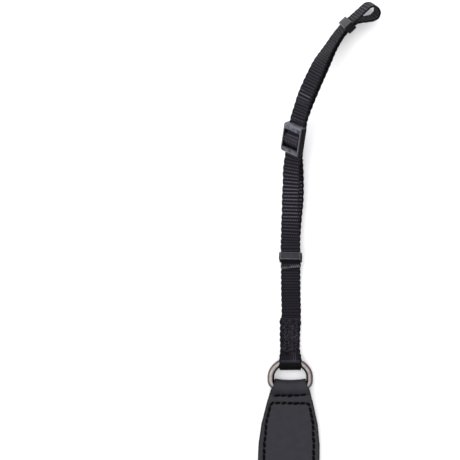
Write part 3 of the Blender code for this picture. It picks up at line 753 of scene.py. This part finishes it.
# The selvedge turns at every second rib, which leaves its edge beaded
beads = np.abs(np.cos(math.pi * rib_count / 2)) ** 0.7
in_slide = np.abs(at - ADJUSTER_AT) < 9.5
scallop = np.where(in_slide, 0.15, 0.5 * (beads - 0.6)) * np.sign(shares) * (np.abs(shares) > 0.96)
points, length, spread = lay_strip(rows, shares, section[:, 1] + scallop, rim * end_thin + np.sign(rim) * rise)
# The tail is cut a little askew, and it and the sewn end are sealed with heat, unevenly
askew = ramp(from_tail, 4.0, -4.0) * (0.1 - 0.6 * shares)
points += askew[..., None] * route_frames(rows[:, 0])[2][:, None]
melt = 1.9 + 0.4 * np.sin(3.1 * shares) + 0.25 * np.sin(9.0 * shares + 1.0)
sealed = np.clip(np.clip(melt - from_tail, 0.0, 1.0) + 0.35 * ramp(run, 1.0, -1.0), 0.0, 1.0)
webbing_marks = {"painted_shade": painted_shade, "painted_highlight": painted_highlight, "sealed": sealed, "stretched": stretched, "rib_count": rib_count}

# Warp bundles over the ribs, by place across the strip and count of ribs: offset from rib to rib, and in plain
# columns where the webbing is stretched
webbing_finish, tree, shader = new_finish("ribbed_nylon", Specular_IOR_Level=0.07)
shade_paint, highlight_paint, melted, taut, ribs = (mark_on(tree, name) for name in webbing_marks)
strip_uv = wire_up(tree, "UVMap", uv_map="strip").outputs[0]
bundle_across = times(tree, wire_up(tree, "SeparateXYZ", {0: strip_uv}).outputs[1], 1000.0 / BUNDLE)
whole_ribs = maths(tree, "FLOOR", maths(tree, "ADD", ribs, 0.5), 0.0)
offset = times(tree, times(tree, whole_ribs, 0.5), maths(tree, "SUBTRACT", 1.0, taut))
wave = times(tree, maths(tree, "ADD", bundle_across, offset), 2 * math.pi)
bundles = scaled(tree, maths(tree, "COSINE", wave, 0.0), 0.5, 0.5)
thread_place = wire_up(tree, "CombineXYZ", {0: times(tree, bundle_across, 5.5), 1: times(tree, ribs, 1.1)})
threads = noise(tree, thread_place.outputs[0], 1.0)
cloth = blend(tree, threads, (0.0021, 0.0017, 0.0034), (0.0058, 0.0046, 0.009))
between = times(tree, taut, maths(tree, "SUBTRACT", 1.0, bundles))
# Painted shade darkens the cloth almost to black, and so do the gaps between the bundles where it is stretched
cloth = blend(tree, maths(tree, "MAXIMUM", shade_paint, between), cloth, (0.0004, 0.0004, 0.0005))
over = times(tree, taut, times(tree, bundles, 0.35))
lines = maths(tree, "MAXIMUM", bundles, scaled(tree, highlight_paint, 1.9, -0.75))
mottle = times(tree, maths(tree, "ADD", threads, 0.55), maths(tree, "MINIMUM", lines, 1.0))
highlight_amount = times(tree, maths(tree, "MAXIMUM", highlight_paint, over), mottle)
# Painted highlight lightens the rib crowns, the creases and the stretched bundles
cloth = blend(tree, highlight_amount, cloth, (0.091, 0.082, 0.107))
fibres = blend(tree, bundles, (0.021, 0.0185, 0.027), (0.096, 0.088, 0.113))
feed(shader, Base_Color=blend(tree, melted, cloth, fibres), Roughness=scaled(tree, threads, 0.2, 0.42))
add_bump(shader, maths(tree, "ADD", bundles, times(tree, threads, 0.8)), 0.0002, 0.9)

for arm, side in (("left", -1), ("right", 1)):
    webbing = strip_piece("webbing_strip_" + arm, points * (side, 1, 1), length, spread, webbing_finish,
                          **webbing_marks)
    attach(webbing, "root")
    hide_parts("webbing_" + arm)

# The tack that closes the loop round the ring: rows of zigzags in nylon thread, one over another
TACK_ROWS = ((-3.4, 1), (-0.8, 1.2), (1.5, 1.4), (3.8, 1.2), (1.2, 1.8))
TACK_FROM, TACK_TO = 234.5, 252.5
TACK_STEP = 1.15
TACK_STITCH, TACK_THREAD = 2.1, 0.5

rng = np.random.default_rng(11)
frames = []
for middle, swing in TACK_ROWS:
    at = steps(TACK_FROM + rng.uniform(0, 2), TACK_TO + rng.uniform(0, 2), TACK_STEP)
    zigzag = middle + swing * np.where(np.arange(len(at)) % 2, 1.0, -1.0) + rng.normal(0.0, 0.4, len(at))
    centre, side, along, up = route_frames(at + rng.normal(0.0, 0.3, len(at)))
    spots = centre + side * zigzag[:, None] + up * (UPPER_LAYER + 0.72)
    run_on = unit(spots[1:] - spots[:-1])
    frames += list(zip((spots[1:] + spots[:-1]) / 2, np.cross(run_on, up[1:]), run_on, up[1:]))
# The light tone of this thread is a painted glint, in random specks
nylon_thread = thread_finish("nylon_thread", 0.2, 1800.0, (2.6, -0.95), (0.0004, 0.0004, 0.0005),
                             (0.044, 0.039, 0.056), (0.25, 0.3))
tack = copies("webbing_tack", *thread_shape(TACK_STITCH, TACK_THREAD, 0.2), frames, nylon_thread)
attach(tack, "root")

# ---- D-rings ----
# Steel wire 4.6 mm thick, bent to a straight bar with a low arch, its joint welded under the leather, and
# plated in gunmetal.

RING_HALF = 12.9
RING_CORNER = 4.4
RING_BASE = 6.4
RING_ARCH = 10.8


def on_route(at, height=0.0, lean=0.0):
    """The strap's own axes at a place: across, towards the neck and up, in metres, then leant over."""
    centre, across, along, up = (Vector(part[0]) for part in route_frames(np.array([at])))
    axes = Matrix((across, along, up)).transposed().to_4x4()
    axes.translation = (centre + up * height) * MM
    return axes @ Matrix.Rotation(math.radians(lean), 4, "X")


def both_arms(piece, axes, name, node):
    """A right-hand piece set in its place, and its mirror image on the left arm, each for its CAD node."""
    mesh = piece.data
    bpy.data.objects.remove(piece)
    for arm in ("right", "left"):
        copy = mesh.copy()
        copy.name = name + "_" + arm
        copy.transform(axes)
        if arm == "left":
            copy.transform(Matrix.Diagonal((-1.0, 1.0, 1.0, 1.0)))
            copy.flip_normals()
        made = add_object(copy.name, copy)
        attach(made, "root")
        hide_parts(node + "_" + arm)


turn = np.radians(np.linspace(-90, 0, 13))
corner = columns(RING_HALF - RING_CORNER * (1 - np.cos(turn)), RING_CORNER * (1 + np.sin(turn)))
turn = np.radians(np.linspace(0, 90, 37))[1:]
outline = joined(corner, columns(RING_HALF * np.cos(turn), RING_BASE + RING_ARCH * np.sin(turn)))
outline = joined(outline, outline[-2::-1] * (-1, 1), outline[:1])
marks = distances(outline)
bpy.ops.mesh.primitive_circle_add(vertices=120, radius=1.0)
ring = bpy.context.object
count = len(ring.data.vertices)
for vertex, place in zip(ring.data.vertices, np.linspace(0.0, marks[-1], count, endpoint=False)):
    x, y = (np.interp(place, marks, column) for column in outline.T)
    vertex.co = (x * MM, -y * MM, 0.0)
bpy.ops.object.convert(target="CURVE")
ring.data.bevel_depth = WIRE / 2 * MM
ring.data.bevel_resolution = 7
bpy.ops.object.convert(target="MESH")
bpy.ops.object.shade_smooth()
# Painted reflection: the wire's upper side is coloured pale, its outer side less so, and its inner side dark
wire_points = np.array([vertex.co for vertex in ring.data.vertices]).reshape(count, -1, 3) / MM
wire_middle = wire_points.mean(axis=1, keepdims=True)
inwards = unit(np.array([0.0, -RING_BASE, 0.0]) - wire_middle)
inner_side = ((wire_points - wire_middle) * inwards).sum(axis=2) / (WIRE / 2)
painted_reflection = ramp(wire_points[..., 2] / (WIRE / 2), 0.6, 0.38)
painted_reflection = painted_reflection * ramp(inner_side, 0.5, -0.3) * ramp(inner_side, -0.6, 0.35)
painted_reflection = np.maximum(painted_reflection, 0.3 * ramp(inner_side, -0.15, -0.3))
painted_light_mark = ring.data.attributes.new("painted_light_mark", "FLOAT", "POINT")
painted_light_mark.data.foreach_set("value", painted_reflection.astype(np.float32).ravel())
gunmetal, tree, shader = new_finish("gunmetal_plate", Metallic=1.0)
ring.data.materials.append(gunmetal)
place = object_place(tree)
cloud = noise(tree, place, 500.0, 4.0)
pale = blend(tree, cloud, (0.15, 0.13, 0.127), (0.37, 0.328, 0.322))
# A dark tone gives the painted reflection on the wire's inner side, and a cloudy pale tone gives it on the upper
# side
colour = blend(tree, mark_on(tree, "painted_light_mark"), (0.018, 0.016, 0.017), pale)
feed(shader, Base_Color=colour, Roughness=scaled(tree, cloud, 0.2, 0.2))
add_bump(shader, noise(tree, place, 2600.0), 0.00003, 0.4)
both_arms(ring, on_route(BAR_AT, RING_HEIGHT), "ring", "d_ring")

# ---- Adjusters ----
# Three-bar slides moulded in black nylon plastic with a fine spark-eroded texture. Two broad rounded bars
# lie over the webbing, which rises in the window between them over a thinner bar.

ADJUSTER_WIDTH = 16.2
ADJUSTER_LENGTH = 20.4
ADJUSTER_INNER = 13.1
ADJUSTER_TOP = 7.0
RAIL_UNDERSIDE = 2.3
BAR_UNDERSIDE = 3.5
UPPER_BAR = 4.1
LOWER_BAR = 3.3


def moulded_block(low, high):
    """A box between two corners in millimetres, as a new object."""
    low, high = np.array(low), np.array(high)
    bpy.ops.mesh.primitive_cube_add(size=1.0, location=(low + high) / 2 * MM)
    block = bpy.context.object
    block.scale = (high - low) * MM
    bpy.ops.object.transform_apply()
    return block


def bevel_edges(piece, wanted, width, segments):
    """Edges of a block just made that a test of their two end points picks, rounded off."""
    bpy.ops.object.mode_set(mode="EDIT")
    bpy.ops.mesh.select_mode(type="EDGE")
    bpy.ops.mesh.select_all(action="DESELECT")
    shape = bmesh.from_edit_mesh(piece.data)
    for edge in shape.edges:
        edge.select = bool(wanted(*(vertex.co / MM for vertex in edge.verts)))
    shape.select_flush_mode()
    bmesh.update_edit_mesh(piece.data)
    bpy.ops.mesh.bevel(offset=width * MM, segments=segments, affect="EDGES")
    bpy.ops.object.mode_set(mode="OBJECT")


def apply_modifier(piece, kind, **settings):
    """A modifier added and applied."""
    bpy.context.view_layer.objects.active = piece
    modifier = piece.modifiers.new(kind.lower(), kind)
    for name, value in settings.items():
        setattr(modifier, name, value)
    bpy.ops.object.modifier_apply(modifier=modifier.name)


def round_edges(piece, width):
    """The sharp edges of a piece rounded off, in millimetres."""
    apply_modifier(piece, "BEVEL", width=width * MM, segments=3, limit_method="ANGLE",
                   angle_limit=math.radians(40))


def finish_moulding(piece, plastic, smooth_to):
    """The selected piece smoothed up to an angle in degrees and given its plastic, and its faces marked for
    painted light: the narrow rims of its edges and the faces that look along the strap for painted highlight,
    and its flanks for painted shade."""
    bpy.ops.object.shade_smooth_by_angle(angle=math.radians(smooth_to))
    rim_highlights = piece.data.attributes.new("rim", "FLOAT", "FACE")
    flank_shade = piece.data.attributes.new("flank", "FLOAT", "FACE")
    for face, rim_highlight_mark, flank_shade_mark in zip(piece.data.polygons, rim_highlights.data, flank_shade.data):
        corners = [piece.data.vertices[index].co for index in face.vertices]
        around = sum((a - b).length for a, b in zip(corners, corners[1:] + corners[:1]))
        rim_highlight_mark.value = float(2 * face.area / around < 0.4 * MM or abs(face.normal.y) > 0.8)
        flank_shade_mark.value = min(1.0, max(0.0, (abs(face.normal.x) - 0.2) / 0.5))
    piece.data.materials.append(plastic)


def moulded_plastic(name, light, dark):
    """Moulded plastic with a fine even texture and paler patches, painted highlight on its rims, and painted shade
    on its flanks.
    """
    finish, tree, shader = new_finish(name, Specular_IOR_Level=0.2)
    height, patches = grained(tree, 0.3, 2.5)
    # Painted highlight on the rims, patchy, and painted shade on the flanks
    painted_light_mark = times(tree, mark_on(tree, "rim"), maths(tree, "ADD", patches, 0.15))
    flank_shade = mark_on(tree, "flank")
    colour = blend(tree, scaled(tree, patches, 2.2, -0.6, clamped=True), dark, light)
    colour = blend(tree, painted_light_mark, colour, (0.09, 0.091, 0.105))
    rough = maths(tree, "MAXIMUM", scaled(tree, patches, 0.2, 0.3), flank_shade)
    feed(shader, Base_Color=blend(tree, flank_shade, colour, (0.003, 0.003, 0.004)), Roughness=rough)
    add_bump(shader, height, 0.00006, 0.5)
    return finish


half_width, half_length, inner = ADJUSTER_WIDTH / 2, ADJUSTER_LENGTH / 2, ADJUSTER_INNER / 2
window_start, window_end = UPPER_BAR - half_length, half_length - LOWER_BAR
slide = moulded_block((-half_width, -half_length, RAIL_UNDERSIDE), (half_width, half_length, ADJUSTER_TOP))
bevel_edges(slide, lambda a, b: abs(a.z - b.z) > 1.0, 2.0, 6)
bevel_edges(slide, lambda a, b: min(a.z, b.z) > ADJUSTER_TOP - 0.1, 1.5, 6)
# Cut out of it: the window, the channel below the outer bars, and a rounded mouth to the channel on both sides
window = moulded_block((-inner, window_start, RAIL_UNDERSIDE - 1), (inner, window_end, ADJUSTER_TOP + 1))
bevel_edges(window, lambda a, b: abs(a.z - b.z) > 1.0, 0.5, 3)
channel = moulded_block((-inner, -half_length - 1, RAIL_UNDERSIDE - 1), (inner, half_length + 1, BAR_UNDERSIDE))
mouth = moulded_block((-inner, window_start - 1.2, BAR_UNDERSIDE - 1),
                      (inner, window_end + 1.2, BAR_UNDERSIDE + 1.2))
bevel_edges(mouth, lambda a, b: min(a.z, b.z) > BAR_UNDERSIDE + 1 and abs(a.x - b.x) > 5, 1.15, 5)
for cutter in (window, channel, mouth):
    apply_modifier(slide, "BOOLEAN", operation="DIFFERENCE", object=cutter, solver="EXACT")
    bpy.data.objects.remove(cutter, do_unlink=True)
round_edges(slide, 0.45)
bpy.ops.mesh.primitive_cylinder_add(vertices=24, radius=0.9 * MM, depth=(ADJUSTER_WIDTH - 0.8) * MM,
                                    location=(0.0, MIDDLE_BAR_AT * MM, 3.3 * MM), rotation=(0, math.pi / 2, 0))
bpy.ops.object.transform_apply()
slide.select_set(True)
bpy.context.view_layer.objects.active = slide
bpy.ops.object.join()
slide_plastic = moulded_plastic("slide_plastic", (0.094, 0.0965, 0.122), (0.0115, 0.0118, 0.0165))
finish_moulding(slide, slide_plastic, 35)
both_arms(slide, on_route(ADJUSTER_AT), "slide", "adjuster")

# ---- Keepers ----
# Two loops of the same plastic on each arm. The lower one holds the webbing's tail and leans; the upper one
# closes the lug loop.

KEEPER_WALL = 0.8
KEEPER_INNER = 13.5

keeper_plastic = moulded_plastic("keeper_plastic", (0.0152, 0.0149, 0.0192), (0.0058, 0.0057, 0.008))
for name, node, size, depth, lean, at in (
    ("tail_keeper", "keeper_lower", 5.0, 6.2, 22.0, LOWER_KEEPER_AT),
    ("lug_keeper", "keeper_upper", 6.2, 4.5, 0.0, UPPER_KEEPER_AT),
):
    half = ((KEEPER_INNER + KEEPER_WALL) / 2, size / 2, (depth + KEEPER_WALL) / 2)
    keeper = moulded_block([-length for length in half], half)
    bevel_edges(keeper, lambda a, b: abs(a.y - b.y) > 1.0, 1.1, 6)
    shape = bmesh.new()
    shape.from_mesh(keeper.data)
    ends = [face for face in shape.faces if abs(face.normal.y) > 0.9]
    bmesh.ops.delete(shape, geom=ends, context="FACES")
    shape.to_mesh(keeper.data)
    shape.free()
    apply_modifier(keeper, "SOLIDIFY", thickness=KEEPER_WALL * MM, offset=0.0, use_even_offset=True)
    round_edges(keeper, 0.38)
    finish_moulding(keeper, keeper_plastic, 40)
    both_arms(keeper, on_route(at, (LOWER_LAYER + UPPER_LAYER) / 2, lean), name, node)

# ---- Floor, lights and camera ----
# A plain white table top under a pale studio tent, two broad soft lights from the left, and a camera that looks
# straight down.

bpy.ops.mesh.primitive_plane_add(size=3.0, location=(0.0, 0.0, -0.0002))
floor = bpy.context.object
floor.name = "table_top"
white_table = new_finish("white_table", Base_Color=(0.86, 0.86, 0.87, 1.0), Roughness=0.8,
                         Specular_IOR_Level=0.1)[0]
floor.data.materials.append(white_table)


def soft_light(name, place, aim, size, power):
    """An area light turned to its aim."""
    light = bpy.data.lights.new(name, "AREA")
    light.shape = "RECTANGLE"
    light.size, light.size_y = size
    light.energy = power
    lamp = add_object(name, light)
    lamp.location = place
    lamp.rotation_euler = (Vector(aim) - Vector(place)).to_track_quat("-Z", "Y").to_euler()


soft_light("side_light", (-1.25, 0.35, 0.85), (-0.13, 0.08, 0.0), (1.3, 1.3), 6.0)
soft_light("low_light", (-1.5, 0.15, 0.36), (-0.16, 0.13, 0.0), (1.5, 0.6), 2.5)

# The studio round the table: a pale tent overhead, dark low down
world = bpy.data.worlds.new("studio")
world.use_nodes = True
tree = world.node_tree
way = wire_up(tree, "TexCoord").outputs["Generated"]
way = wire_up(tree, "SeparateXYZ", {0: way}).outputs
above = wire_up(tree, "MapRange", {0: way[2], 1: 0.1, 2: 0.5}, interpolation_type="SMOOTHSTEP").outputs[0]
towards = maths(tree, "ADD", times(tree, way[0], -0.6), times(tree, way[1], 0.4))
tent = times(tree, above, maths(tree, "ADD", towards, 1.72))
sky = tree.nodes["Background"]
tree.links.new(maths(tree, "ADD", tent, 0.12), sky.inputs["Strength"])
sky.inputs["Color"].default_value = (1.0, 1.0, 1.0, 1.0)
bpy.context.scene.world = world
bpy.context.scene.view_settings.view_transform = "Standard"

# The photo is 460 pixels wide, at 1500 of them to the metre
PHOTO_WIDTH = 460 / 1500
CAMERA_HEIGHT = 1.25
SENSOR_WIDTH = 36.0
camera_data = bpy.data.cameras.new("camera")
camera_data.sensor_width = SENSOR_WIDTH
camera_data.lens = SENSOR_WIDTH * CAMERA_HEIGHT / PHOTO_WIDTH
camera_data.clip_end = 10.0
camera = add_object("camera", camera_data)
camera.location = (-0.160, 0.112, CAMERA_HEIGHT)
bpy.context.scene.camera = camera
